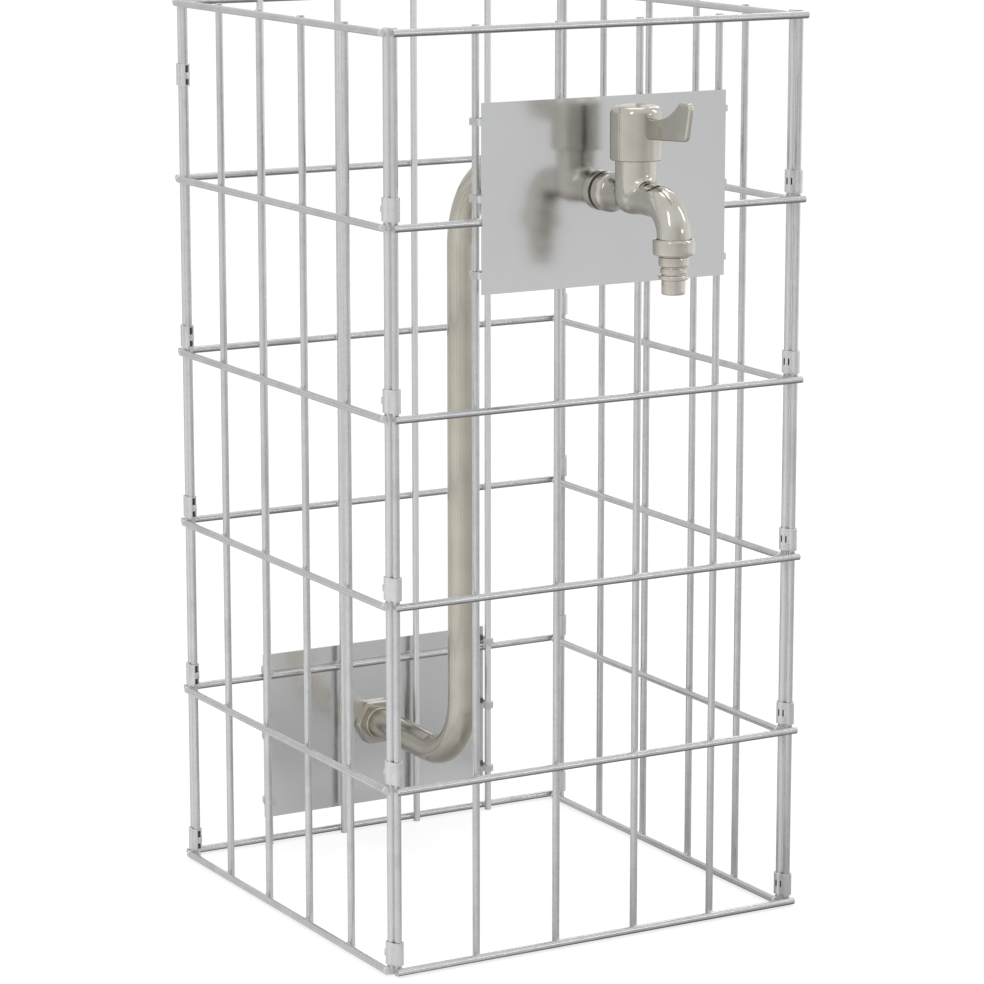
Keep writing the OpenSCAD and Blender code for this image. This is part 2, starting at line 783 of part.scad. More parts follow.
module hose_tail() {
    neck_high = -31.75;
    ridge_high = -36.1;
    ridge_low = -38.7;
    flange_r = nut_bore_r - 0.35;
    color([0.74, 0.72, 0.67]) at_outlet() difference() {
        union() {
            translate([0, 0, tail_flange_high - tail_flange_t]) cylinder(h = tail_flange_t, r = flange_r);
            translate([0, 0, neck_high]) cylinder(h = tail_flange_high - neck_high, r = stem_d / 2);
            translate([0, 0, ridge_high - over])
                cylinder(h = neck_high - ridge_high + 2 * over, r = stem_neck_d / 2);
            translate([0, 0, ridge_low]) cylinder(h = ridge_high - ridge_low, r = stem_d / 2);
            translate([0, 0, -tail_low]) cylinder(h = tail_low + ridge_low + over, r = tip_d / 2);
        }
        translate([0, 0, -tail_low - over])
            cylinder(h = tail_low + tail_flange_high + 2 * over, r = tail_bore / 2);
    }
}

module hose_washer() {
    color([0.13, 0.13, 0.14]) at_outlet()
        ring_z(tail_flange_high, outlet_low - gasket_gap, nut_bore_r - 0.4, spout_bore / 2);
}

module hose_union_nut() {
    edge = 0.6;
    color([0.74, 0.72, 0.67]) at_outlet() difference() {
        translate([0, 0, nut_low]) {
            cylinder(h = edge, r1 = nut_d / 2 - edge, r2 = nut_d / 2);
            translate([0, 0, edge]) cylinder(h = nut_h - 2 * edge, r = nut_d / 2);
            translate([0, 0, nut_h - edge]) cylinder(h = edge, r1 = nut_d / 2, r2 = nut_d / 2 - edge);
        }
        translate([0, 0, nut_low + nut_lip_t]) cylinder(h = nut_h, r = nut_bore_r);
        translate([0, 0, nut_low - over]) cylinder(h = nut_h, r = nut_hole_r);
    }
}

front_mesh_panel();
back_mesh_panel();
left_mesh_panel();
right_mesh_panel();
front_left_clips();
front_right_clips();
back_left_clips();
back_right_clips();
tap_plate();
inlet_plate();
riser_pipe();
upper_pipe_tail();
lower_hex_socket();
tap_inlet_gasket();
lower_joint_gasket();
tap_wall_washer();
inlet_connector();
inlet_washer();
tap_body();
cartridge_sleeve();
cartridge_washer();
cartridge_seat_seal();
fixed_ceramic_disc();
moving_ceramic_disc();
spindle();
spindle_o_rings();
spindle_circlip();
lever_handle();
handle_grub_screw();
hose_tail();
hose_washer();
hose_union_nut();
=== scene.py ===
import json
import math

import bmesh
import bpy
from mathutils import Matrix, Vector


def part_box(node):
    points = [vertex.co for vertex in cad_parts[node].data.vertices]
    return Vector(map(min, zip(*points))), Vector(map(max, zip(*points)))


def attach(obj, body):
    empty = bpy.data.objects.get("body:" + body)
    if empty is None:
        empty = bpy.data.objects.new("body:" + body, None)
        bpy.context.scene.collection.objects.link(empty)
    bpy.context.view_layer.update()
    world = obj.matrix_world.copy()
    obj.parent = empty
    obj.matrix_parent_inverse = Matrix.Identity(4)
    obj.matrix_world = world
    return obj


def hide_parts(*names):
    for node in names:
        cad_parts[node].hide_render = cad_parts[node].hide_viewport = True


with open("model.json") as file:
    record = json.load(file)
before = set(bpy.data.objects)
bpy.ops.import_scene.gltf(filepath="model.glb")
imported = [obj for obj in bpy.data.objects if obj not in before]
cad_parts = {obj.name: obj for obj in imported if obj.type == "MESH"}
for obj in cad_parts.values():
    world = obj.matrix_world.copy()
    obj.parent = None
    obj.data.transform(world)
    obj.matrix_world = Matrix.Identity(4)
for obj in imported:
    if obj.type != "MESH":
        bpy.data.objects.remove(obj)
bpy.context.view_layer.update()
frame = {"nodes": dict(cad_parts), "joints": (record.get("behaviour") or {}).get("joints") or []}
nodes = frame["nodes"]
joints = {j["name"]: j for j in frame["joints"]}
MM = 0.001

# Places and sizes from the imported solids
plate_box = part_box("tap_plate")
inlet_plate_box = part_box("inlet_plate")
washer_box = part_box("tap_wall_washer")
tap_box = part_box("tap_body")
lever_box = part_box("lever_handle")
nut_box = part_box("hose_union_nut")
tail_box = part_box("hose_tail")
pipe_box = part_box("riser_pipe")
pipe_tail_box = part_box("upper_pipe_tail")
socket_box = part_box("lower_hex_socket")
inlet_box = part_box("inlet_connector")
clip_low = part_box("front_left_clips")[0].z
tap_z = (washer_box[0].z + washer_box[1].z) / 2
tap_y = plate_box[0].y
lever_y = joints["lever_turn"]["pos_m"][1]
outlet_y = (nut_box[0].y + nut_box[1].y) / 2
inlet_z = (socket_box[0].z + socket_box[1].z) / 2
inlet_y = inlet_plate_box[1].y
pipe_r = (pipe_box[1].x - pipe_box[0].x) / 2

# The plates and the joints behind them
plate_t = 1.5 * MM
plate_in = -tap_y - plate_t
fit_gap = 0.05 * MM
pipe_hole_r = pipe_r + fit_gap
joint_thread_r = 8.33 * MM
water_r = 5.0 * MM

# The cage: its uprights' middles, the side panels' edge wires beside them, its cells and rails
wire_r = 2.0 * MM
half = 125.0 * MM
edge = 120.9 * MM
pair_y = (half + edge) / 2
front_shift = 2.0 * MM
cell_w, cell_h, cell_count = 50.0 * MM, 100.0 * MM, 5
rail_low, rail_off = 2.5 * MM, 3.6 * MM

# The corner clips, one to a cell's height. The top one at the back left sits higher than the others
clip_h = 12.5 * MM
odd_clip_lift = 50.0 * MM
# Wires past the first distance from the middle are in a corner; the odd clip is above the second
corner_zone, odd_clip_from = 115.0 * MM, 380.0 * MM

# The tap is modelled with x forwards from its plate, y to the right and z up from its axis
tap_place = Matrix.Translation((0, tap_y, tap_z)) @ Matrix.Rotation(math.radians(-90), 4, "Z")
lever_x = tap_y - lever_y
outlet_x = tap_y - outlet_y
# The hose union is modelled with z up from the tap's axis
outlet_place = Matrix.Translation((0, outlet_y, tap_z))
# The inlet is modelled with x backwards from its plate
inlet_place = Matrix.Translation((0, inlet_y, inlet_z)) @ Matrix.Rotation(math.radians(90), 4, "Z")
# What is turned about z is then laid along x
lay_down = Matrix.Rotation(math.radians(90), 4, "Y")


# Modelling, as by hand

def only(piece):
    """Leaves edit mode and selects one piece, or none."""
    if bpy.context.mode != "OBJECT":
        bpy.ops.object.mode_set(mode="OBJECT")
    bpy.ops.object.select_all(action="DESELECT")
    if piece:
        piece.select_set(True)
        bpy.context.view_layer.objects.active = piece


def place(piece, matrix):
    """Moves a piece, and puts its place in its mesh."""
    only(piece)
    piece.matrix_world = matrix @ piece.matrix_world
    bpy.ops.object.transform_apply(location=True, rotation=True, scale=True)
    return piece


def add(kind, **size):
    only(None)
    getattr(bpy.ops.mesh, f"primitive_{kind}_add")(**size)
    return place(bpy.context.object, Matrix.Identity(4))


def edit(piece):
    """Enters edit mode with everything selected."""
    only(piece)
    bpy.ops.object.mode_set(mode="EDIT")
    bpy.ops.mesh.select_all(action="SELECT")


def pick(kind, wanted):
    """In edit mode: selects the VERTs, EDGEs or FACEs that wanted says yes to."""
    bpy.ops.mesh.select_mode(type=kind)
    bpy.ops.mesh.select_all(action="DESELECT")
    mesh = bmesh.from_edit_mesh(bpy.context.object.data)
    for part in {"VERT": mesh.verts, "EDGE": mesh.edges, "FACE": mesh.faces}[kind]:
        if wanted(part):
            part.select_set(True)
    mesh.select_flush_mode()
    bmesh.update_edit_mesh(bpy.context.object.data)


def extrude(x, y, z):
    """In edit mode: extrudes what is selected."""
    bpy.ops.mesh.extrude_region_move(TRANSFORM_OT_translate={"value": (x, y, z)})


def bend(steps, centre, axis):
    """In edit mode: carries the selected end through a quarter turn."""
    bpy.ops.mesh.spin(steps=steps, angle=math.radians(90), center=centre, axis=axis)


def close_up():
    """Merges doubles, turns every face outwards and leaves edit mode."""
    bpy.ops.mesh.select_mode(type="VERT")
    bpy.ops.mesh.select_all(action="SELECT")
    bpy.ops.mesh.remove_doubles(threshold=0.02 * MM)
    bpy.ops.mesh.normals_make_consistent(inside=False)
    bpy.ops.object.mode_set(mode="OBJECT")


def modify(piece, kind, **settings):
    modifier = piece.modifiers.new(kind.title(), kind)
    for key, value in settings.items():
        setattr(modifier, key, value)
    only(piece)
    bpy.ops.object.modifier_apply(modifier=modifier.name)


def copy(piece, matrix):
    twin = piece.copy()
    twin.data = piece.data.copy()
    bpy.context.collection.objects.link(twin)
    return place(twin, matrix)


def join(pieces):
    only(pieces[0])
    for piece in pieces:
        piece.select_set(True)
    bpy.ops.object.join()
    return pieces[0]


def cut(piece, tool, operation="DIFFERENCE"):
    modify(piece, "BOOLEAN", object=tool, operation=operation, solver="EXACT")
    bpy.data.objects.remove(tool)


def soften(piece, width, segments, angle):
    """Rounds the edges that are sharper than the angle."""
    modify(piece, "BEVEL", width=width, segments=segments, limit_method="ANGLE",
           angle_limit=math.radians(angle), use_clamp_overlap=True)


def smooth(piece, angle):
    only(piece)
    bpy.ops.object.shade_smooth_by_angle(angle=math.radians(angle))


# A lathe profile that ends on the axis ends at this radius, which close_up merges to a point
axis_r = 0.01 * MM


def turned(profile, sides):
    """A piece turned on a lathe about z: a ring is extruded along the profile's (radius, height) points."""
    ring = add("circle", vertices=sides, radius=profile[0][0], location=(0, 0, profile[0][1]),
               fill_type="NOTHING")
    edit(ring)
    for (r0, h0), (r1, h1) in zip(profile, profile[1:]):
        extrude(0, 0, h1 - h0)
        bpy.ops.transform.resize(value=(r1 / r0, r1 / r0, 1), center_override=(0, 0, h1))
    close_up()
    return ring


def arc(middle_r, middle_h, radius, start, end, steps):
    """Points of a rounded corner in a lathe profile, from one angle to another in degrees."""
    turn = [math.radians(start + (end - start) * k / steps) for k in range(steps + 1)]
    return [(middle_r + radius * math.cos(t), middle_h + radius * math.sin(t)) for t in turn]


def hexagon(across, low, high):
    """A hexagon bar along z with flats up and down once laid along x. A drum with coned ends, a little
    wider than the bar, trims its corners."""
    corner_r, flat_r = across / math.sqrt(3), across / 2
    drum_r, cone_end_r = corner_r * 1.02, flat_r * 0.985
    drum_len = (high - low) * 1.001
    cone_drop = (corner_r - flat_r) * 0.55
    middle = (low + high) / 2
    bar = add("cylinder", vertices=6, radius=corner_r, depth=high - low, location=(0, 0, middle))
    drum = add("cylinder", vertices=96, radius=drum_r, depth=drum_len, location=(0, 0, middle))
    edit(drum)
    pick("FACE", lambda f: abs(f.normal.z) > 0.9)
    bpy.ops.mesh.inset(thickness=drum_r - cone_end_r, use_individual=True)
    for side in (-1, 1):
        pick("VERT", lambda v: (v.co.z - middle) * side > 0 and v.co.to_2d().length > flat_r)
        bpy.ops.transform.translate(value=(0, 0, -side * cone_drop))
    close_up()
    cut(bar, drum, "INTERSECT")
    return bar


def fit_out(piece, name, body, slot, finish, *stands_for):
    """Names a finished piece, gives it its finish and hangs it on its body."""
    piece.name = piece.data.name = name
    piece.data.materials.clear()
    piece.data.materials.append(finish)
    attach(piece, body)
    if stands_for:
        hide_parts(*stands_for)


# Finishes

class Value:
    """A socket of a node tree. Sums, differences, products and quotients of it add Math nodes."""

    def __init__(self, tree, socket):
        self.tree, self.socket = tree, socket

    def node(self, kind, settings=None, sockets=None, out=0):
        made = self.tree.nodes.new(kind)
        for key, value in (settings or {}).items():
            if key == "stops":
                while len(made.color_ramp.elements) < len(value):
                    made.color_ramp.elements.new(0.5)
                for element, (position, colour) in zip(made.color_ramp.elements, value):
                    element.position, element.color = position, (*colour, 1)
            else:
                setattr(made, key, value)
        for key, value in (sockets or {}).items():
            if isinstance(value, Value):
                self.tree.links.new(value.socket, made.inputs[key])
            else:
                made.inputs[key].default_value = value
        return Value(self.tree, made.outputs[out])

    def maths(self, operation, *others):
        """A Math node with this value first."""
        return self.node("ShaderNodeMath", {"operation": operation}, dict(enumerate((self, *others))))

    def __abs__(self):
        return self.maths("ABSOLUTE")

    def __add__(self, other):
        return self.maths("ADD", other)

    __radd__ = __add__

    def __sub__(self, other):
        return self.maths("SUBTRACT", other)

    def __rsub__(self, other):
        return self.node("ShaderNodeMath", {"operation": "SUBTRACT"}, {0: other, 1: self})

    def __mul__(self, other):
        return self.maths("MULTIPLY", other)

    __rmul__ = __mul__

    def __truediv__(self, other):
        return self.maths("DIVIDE", other)

    def __rtruediv__(self, other):
        return self.node("ShaderNodeMath", {"operation": "DIVIDE"}, {0: other, 1: self})

    def clip(self, low, high):
        """0 at low and less, 1 at high and more, smooth between."""
        return self.node("ShaderNodeMapRange", {"interpolation_type": "SMOOTHSTEP"},
                         {"Value": self, "From Min": low, "From Max": high})

    def mix(self, first, second):
        """The first colour where this value is 0 and the second where it is 1."""
        return self.node("ShaderNodeMix", {"data_type": "RGBA"}, {0: self, 6: first, 7: second}, out=2)

    def scaled(self, factors):
        return self.node("ShaderNodeVectorMath", {"operation": "MULTIPLY"}, {0: self, 1: factors})

    def xyz(self):
        """The three parts of a vector."""
        made = self.node("ShaderNodeSeparateXYZ", None, {0: self}).socket.node
        return [Value(self.tree, part) for part in made.outputs]

    def noise(self, scale, detail, roughness=0.55):
        return self.node("ShaderNodeTexNoise", None,
                         {"Vector": self, "Scale": scale, "Detail": detail, "Roughness": roughness})

    def cells(self, scale):
        """A random number for each grain of a cell pattern."""
        made = self.node("ShaderNodeTexVoronoi", {"feature": "F1"}, {"Vector": self, "Scale": scale}, out=1)
        return self.node("ShaderNodeSeparateColor", None, {"Color": made})


def new_finish(name, **plain):
    """A material with the plain values on its shader, and the place on the piece as a Value."""
    finish = bpy.data.materials.new(name)
    finish.use_nodes = True
    tree = finish.node_tree
    shader = tree.nodes["Principled BSDF"]
    for key, value in plain.items():
        shader.inputs[key.replace("_", " ")].default_value = value
    spot = Value(tree, tree.nodes.new("ShaderNodeTexCoord").outputs["Object"])
    return finish, spot


def feed(finish, **values):
    """Links values that change over the surface to the shader's sockets."""
    tree = finish.node_tree
    shader = tree.nodes["Principled BSDF"]
    for key, value in values.items():
        tree.links.new(value.socket, shader.inputs[key.replace("_", " ")])


def bump(height, depth, strength):
    return height.node("ShaderNodeBump", None, {"Height": height, "Distance": depth, "Strength": strength})


def grey(level):
    """The grey of bare steel and zinc, with a touch of blue."""
    return (level, level * 1.004, level * 1.012, 1)


def underside(spot):
    """How far a surface faces down: 1 straight down, -1 straight up."""
    normal = Value(spot.tree, spot.socket.node.outputs["Normal"])
    return -1 * normal.xyz()[2]


def clip_shade_mask(spot):
    """1 on the edge wires inside the corner clips, where they get painted shade."""
    across, depth, height = spot.xyz()
    corner = (abs(across).maths("GREATER_THAN", corner_zone)
              * abs(depth).maths("GREATER_THAN", corner_zone))
    odd = (across.maths("LESS_THAN", 0.0) * depth.maths("GREATER_THAN", 0.0)
           * height.maths("GREATER_THAN", odd_clip_from))
    up = (height - clip_low - odd * odd_clip_lift) / cell_h
    off_middle = up.maths("FRACT") * (cell_h / clip_h) - 0.5
    soft_end = 0.06
    return corner * (1 - abs(off_middle).clip(0.5 - soft_end, 0.5))


def zinc_finish(name, dark, light, grain, rough, under_shade=None):
    """Zinc on steel: grains of slightly different greys, dull patches, and pale painted light in the crevice
    where paired edge wires meet.
    Wires also get painted shade: inside the clips, and on their undersides by the amount given."""
    finish, spot = new_finish(name)
    # The first grey is painted light in the crevice between edge wires; the other two are painted shade
    crevice_light_grey, under_shade_grey, clip_shade_grey = grey(0.95), grey(0.08), grey(0.03)
    grains = spot.cells(1 / grain)
    cloud = spot.noise(90.0, detail=4.0)
    speck = spot.noise(900.0, detail=3.0, roughness=0.7)
    tone = grains * 0.4 + cloud.clip(0.35, 0.65) * 0.4 + speck.clip(0.35, 0.7) * 0.2
    dull = spot.noise(35.0, detail=5.0).clip(0.56, 0.68)
    off_joint = abs(spot.xyz()[1]) - pair_y
    # Painted light: a pale, less metallic band where the paired edge wires meet lightens the crevice's shade
    painted_crevice_light = 1 - abs(off_joint).clip(0.1 * MM, 1.5 * MM)
    worn = (dull * 0.35).mix(tone.mix(grey(dark), grey(light)), grey(dark * 0.8))
    colour, metal = painted_crevice_light.mix(worn, crevice_light_grey), 0.9 - painted_crevice_light * 0.7
    if under_shade is not None:
        # Painted shade: wire undersides darkened, strongly on the front and back panels, faintly on the side
        # panels
        colour = (underside(spot).clip(0.2, 0.5) * under_shade).mix(colour, under_shade_grey)
        # Painted shade: the wires are darkened and made less metallic inside the clips
        clip_shade = clip_shade_mask(spot)
        colour, metal = clip_shade.mix(colour, clip_shade_grey), metal * (1 - clip_shade)
    feed(finish,
         Base_Color=colour,
         Metallic=metal,
         Roughness=rough + grains * 0.05 + dull * 0.08 + speck * 0.04,
         Normal=bump(speck * 0.6 + cloud * 0.8 + grains * 0.15, 0.12 * MM, 0.3))
    return finish


def sheet_finish(name, level, rough):
    """Satin stainless sheet: fine grain along the sheet, faint cloudy handling marks, and duller on the
    bent hooks, which reach in behind the sheet."""
    finish, spot = new_finish(name)
    depth = spot.xyz()[1]
    hook = 1 - abs(depth).clip(plate_in - 0.4 * MM, plate_in - 0.1 * MM)
    grain = spot.scaled((60.0, 60.0, 2600.0)).noise(1.0, detail=2.0)
    cloud = spot.noise(16.0, detail=4.0)
    marks = spot.noise(55.0, detail=5.0).clip(0.6, 0.75)
    tone = grain * 0.35 + cloud * 0.65
    feed(finish,
         Base_Color=tone.mix(grey(level * 0.93), grey(level * 1.05)),
         Metallic=1 - hook * 0.8,
         Roughness=rough + cloud.clip(0.3, 0.75) * 0.05 + grain * 0.03 + marks * 0.05 + hook * 0.3,
         Normal=bump(grain * 0.4 + cloud, 0.02 * MM, 0.5))
    return finish


def plated_finish(name, dark, light, rough, streak):
    """Nickel plate, warm grey: faint clouding, polishing lines, a few dried water marks, and a darker colour
    on the undersides."""
    finish, spot = new_finish(name, Metallic=1.0)
    dark_underside_colour = (0.22, 0.19, 0.135, 1)
    cloud = spot.noise(45.0, detail=4.0)
    lines = spot.scaled(streak).noise(1.0, detail=3.0)
    marks = spot.noise(130.0, detail=5.0).clip(0.6, 0.72)
    tone = cloud.clip(0.3, 0.7) * 0.85 + lines * 0.15
    clean = (marks * 0.25).mix(tone.mix((*dark, 1), (*light, 1)), (*dark, 1))
    feed(finish,
         Base_Color=(underside(spot).clip(0.1, 0.7) * 0.5).mix(clean, dark_underside_colour),
         Roughness=rough + cloud * 0.04 + lines * 0.02 + marks * 0.06,
         Normal=bump(cloud * 0.6 + lines * 0.01, 0.03 * MM, 0.35))
    return finish


def plain_finish(name, dark, light, rough, metal, grain, depth):
    """A duller surface with an even grain, for seals, discs and inner fittings."""
    finish, spot = new_finish(name, Metallic=metal)
    cloud = spot.noise(grain, detail=4.0)
    fine = spot.noise(grain * 8, detail=3.0, roughness=0.7)
    tone = cloud * 0.6 + fine * 0.4
    feed(finish,
         Base_Color=tone.mix((*dark, 1), (*light, 1)),
         Roughness=rough + fine * 0.15,
         Normal=bump(fine + cloud, depth, 0.5))
    return finish


# The two wire finishes differ only in how much painted shade their undersides get
wire_zinc = zinc_finish("galvanised_wire", dark=0.57, light=0.67, grain=1.6 * MM, rough=0.11, under_shade=0.7)
side_zinc = zinc_finish("galvanised_side_wire", dark=0.57, light=0.67, grain=1.6 * MM, rough=0.11, under_shade=0.1)
clip_zinc = zinc_finish("clip_steel", dark=0.62, light=0.72, grain=3.0 * MM, rough=0.24)
tap_plate_sheet = sheet_finish("tap_plate_steel", level=0.71, rough=0.12)
inlet_plate_sheet = sheet_finish("inlet_plate_steel", level=0.74, rough=0.15)
tap_plating = plated_finish("plated_brass", dark=(0.51, 0.485, 0.43), light=(0.60, 0.578, 0.525),
                            rough=0.10, streak=(300.0, 300.0, 40.0))
pipe_plating = plated_finish("plated_pipe", dark=(0.51, 0.482, 0.415), light=(0.565, 0.538, 0.468),
                             rough=0.15, streak=(700.0, 700.0, 25.0))
tail_plating = plated_finish("plated_tail", dark=(0.53, 0.49, 0.435), light=(0.62, 0.58, 0.525),
                             rough=0.12, streak=(300.0, 300.0, 40.0))
brass = plain_finish("raw_brass", dark=(0.55, 0.36, 0.13), light=(0.72, 0.52, 0.24),
                     rough=0.25, metal=1.0, grain=120.0, depth=0.02 * MM)
spring = plain_finish("spring_steel", dark=(0.20, 0.20, 0.21), light=(0.32, 0.32, 0.33),
                      rough=0.3, metal=1.0, grain=160.0, depth=0.02 * MM)
disc_ceramic = plain_finish("ceramic", dark=(0.78, 0.77, 0.74), light=(0.86, 0.85, 0.82),
                            rough=0.2, metal=0.0, grain=200.0, depth=0.01 * MM)
gasket_fibre = plain_finish("fibre", dark=(0.10, 0.10, 0.11), light=(0.17, 0.17, 0.17),
                            rough=0.7, metal=0.0, grain=400.0, depth=0.05 * MM)
rubber = plain_finish("seal_rubber", dark=(0.016, 0.016, 0.017), light=(0.03, 0.03, 0.031),
                      rough=0.5, metal=0.0, grain=300.0, depth=0.03 * MM)
wall_rubber = plain_finish("wall_rubber", dark=(0.035, 0.032, 0.025), light=(0.07, 0.064, 0.05),
                           rough=0.45, metal=0.0, grain=300.0, depth=0.03 * MM)

for finish, names in (
    (wire_zinc, ("front_mesh_panel", "back_mesh_panel")),
    (side_zinc, ("left_mesh_panel", "right_mesh_panel")),
    (clip_zinc, ("front_left_clips", "front_right_clips", "back_left_clips", "back_right_clips")),
    (tap_plate_sheet, ("tap_plate",)),
    (inlet_plate_sheet, ("inlet_plate",)),
    (pipe_plating, ("riser_pipe", "upper_pipe_tail", "lower_hex_socket")),
    (tap_plating, ("tap_body", "lever_handle", "hose_tail", "hose_union_nut", "inlet_connector")),
    (brass, ("cartridge_sleeve", "spindle")),
    (spring, ("spindle_circlip", "handle_grub_screw")),
    (disc_ceramic, ("fixed_ceramic_disc", "moving_ceramic_disc")),
    (gasket_fibre, ("tap_inlet_gasket", "lower_joint_gasket", "cartridge_washer", "hose_washer")),
    (wall_rubber, ("tap_wall_washer", "inlet_washer")),
    (rubber, ("cartridge_seat_seal", "spindle_o_rings")),
):
    for name in names:
        nodes[name].data.materials.clear()
        nodes[name].data.materials.append(finish)


# The riser pipe, bent from one tube

def bent_pipe():
    wall = 1.6 * MM
    riser_y = 23.0 * MM
    upper_r, lower_r = 48.0 * MM, 38.0 * MM
    upper_y, upper_z = riser_y - upper_r, tap_z - upper_r
    lower_y, lower_z = riser_y + lower_r, inlet_z + lower_r
    start, end = pipe_box[0].y, pipe_box[1].y
    tube = add("circle", vertices=56, radius=pipe_r, location=(0, start, tap_z),
               rotation=(math.radians(90), 0, 0), fill_type="NOTHING")
    edit(tube)
    extrude(0, upper_y - start, 0)
    bend(28, (0, upper_y, upper_z), (1, 0, 0))
    extrude(0, 0, lower_z - upper_z)
    bend(24, (0, lower_y, lower_z), (-1, 0, 0))
    extrude(0, end - lower_y, 0)
    close_up()
    modify(tube, "SOLIDIFY", thickness=wall, offset=-1)
    smooth(tube, 40)
    return tube


fit_out(bent_pipe(), "bent_riser_pipe", "standpipe", "plated_pipe", pipe_plating, "riser_pipe")


# The tap's casting: collar, tube, barrel and bent spout flow into each other

def tap_casting():
    barrel_r = (tap_box[1].x - tap_box[0].x) / 2
    barrel_low, barrel_high, barrel_round = -9.3 * MM, tap_box[1].z - tap_z, 8.0 * MM
    tube_r, bend_r = 8.75 * MM, 17.5 * MM
    outlet_low = tap_box[0].z - tap_z
    bore_r, bore_deep = 5.5 * MM, 12.0 * MM
    collar_len, collar_over = 8.0 * MM, 0.1 * MM
    collar_chamfer, collar_round = 0.4 * MM, 3.0 * MM
    collar_r = (washer_box[1].x - washer_box[0].x) / 2 + collar_over
    collar_back = tap_y - tap_box[1].y
    collar_front = collar_back + collar_len
    tube_start, bend_start = collar_back + 1.0 * MM, outlet_x - bend_r
    voxel = 0.42 * MM
    # How far from the seam of barrel and tube, and from the collar's front, the casting is rounded off
    seam_reach, top_reach, collar_reach = 11.0 * MM, 6.0 * MM, 2.0 * MM
    collar_share = 0.6

    collar = turned([(axis_r, collar_back), (collar_r - collar_chamfer, collar_back),
                     (collar_r, collar_back + collar_chamfer)]
                    + arc(collar_r - collar_round, collar_front - collar_round, collar_round, 0, 90, 8)
                    + [(axis_r, collar_front)], 72)
    place(collar, lay_down)
    barrel = turned([(axis_r, barrel_low)]
                    + arc(barrel_r - barrel_round, barrel_low + barrel_round, barrel_round, -90, 0, 10)
                    + [(barrel_r, barrel_high), (axis_r, barrel_high)], 96)
    place(barrel, Matrix.Translation((lever_x, 0, 0)))
    spout = add("circle", vertices=72, radius=tube_r, location=(tube_start, 0, 0),
                rotation=(0, math.radians(90), 0), fill_type="NGON")
    edit(spout)
    extrude(bend_start - tube_start, 0, 0)
    bend(32, (bend_start, 0, -bend_r), (0, -1, 0))
    extrude(0, 0, outlet_low + bend_r)
    close_up()
    casting = join([barrel, collar, spout])
    modify(casting, "REMESH", mode="VOXEL", voxel_size=voxel, use_smooth_shade=True)

    def seam_share(x, y, z):
        """1 on the seam of barrel and tube, 0 and less away from it and from the collar's front."""
        reach = top_reach if x > lever_x and z > 0 else seam_reach
        sunk = max(0.0, barrel_low + barrel_round - z)
        waist = barrel_r - barrel_round + math.sqrt(max(0.0, barrel_round ** 2 - sunk ** 2))
        off_barrel = abs(math.hypot(x - lever_x, y) - waist)
        off_tube = abs(math.hypot(y, z) - tube_r)
        near_seam = 1 - max(off_barrel, off_tube) / reach
        near_collar = collar_share * (1 - abs(x - collar_front) / collar_reach)
        return min(1.0, max(near_seam, near_collar))

    seam = casting.vertex_groups.new(name="seam")
    for vertex in casting.data.vertices:
        share = seam_share(*vertex.co)
        if share > 0:
            seam.add([vertex.index], share, "REPLACE")
    modify(casting, "SMOOTH", factor=0.5, iterations=700, vertex_group="seam")
    modify(casting, "SMOOTH", factor=0.5, iterations=8)
    cut(casting, add("cylinder", vertices=48, radius=bore_r, depth=2 * bore_deep,
                     location=(outlet_x, 0, outlet_low)))
    smooth(casting, 50)
    return place(casting, tap_place)


fit_out(tap_casting(), "tap_casting", "standpipe", "plated_brass", tap_plating, "tap_body")


# The lever: a turned hood with an upright blade

def blade_rim():
    """The blade's outline in the lever's x and z, from its root round the tip."""
    reach = lever_y - lever_box[0].y
    high = lever_box[1].z - tap_z
    low, rise = 31.1 * MM, 1.9 * MM
    high_r, low_r, foot_back = 3.3 * MM, 4.0 * MM, 7.0 * MM
    hollow_r, hollow_back, hollow_up = 34.2 * MM, 35.4 * MM, 23.3 * MM
    root = 12.6 * MM
    tip = Vector((reach - high_r, high - high_r))
    foot = Vector((reach - foot_back, low + rise + low_r))
    hollow = Vector((reach - hollow_back, high + hollow_up))
    span = tip - foot
    lean = (math.degrees(math.atan2(span.y, span.x)) - 90
            + math.degrees(math.asin((low_r - high_r) / span.length)))
    crest = -math.degrees(math.asin(hollow_up / hollow_r))
    end = math.degrees(math.asin((root - hollow.x) / hollow_r)) - 90
    return ([(root, low)]
            + arc(foot.x, foot.y, low_r, -90, lean, 8)
            + arc(tip.x, tip.y, high_r, lean, 90, 10)
            + arc(hollow.x, hollow.y, hollow_r, crest, end, 18))


def lever():
    wall, roof_t = 2.0 * MM, 4.0 * MM
    hood_r = (lever_box[1].x - lever_box[0].x) / 2
    inner_r = hood_r - wall
    low, high = lever_box[0].z - tap_z, 48.5 * MM
    roof = high - roof_t
    roof_chamfer, rim_chamfer, shoulder_r = 1.5 * MM, 0.5 * MM, 4.3 * MM
    dome, crown_r, flat_r = 0.5 * MM, hood_r * 0.45, hood_r * 0.2
    thick, blade_round = 3.2 * MM, 1.1 * MM
    hood = turned([(axis_r, roof), (inner_r - roof_chamfer, roof), (inner_r, roof - roof_chamfer),
                   (inner_r, low), (hood_r - rim_chamfer, low), (hood_r, low + rim_chamfer)]
                  + arc(hood_r - shoulder_r, high - dome - shoulder_r, shoulder_r, 0, 78, 12)
                  + [(crown_r, high - dome / 4), (flat_r, high), (axis_r, high)], 96)
    smooth(hood, 40)
    rim = blade_rim()
    blade = add("circle", vertices=len(rim), radius=1.0, fill_type="NGON")
    for vertex, (x, z) in zip(blade.data.vertices, rim):
        vertex.co = (x, -thick / 2, z)
    edit(blade)
    extrude(0, thick, 0)
    close_up()
    soften(blade, width=blade_round, segments=5, angle=40)
    smooth(blade, 40)
    whole = join([hood, blade])
    return place(whole, tap_place @ Matrix.Translation((lever_x, 0, 0)))


fit_out(lever(), "lever_with_blade", "lever", "plated_brass", tap_plating, "lever_handle")


# The hose union

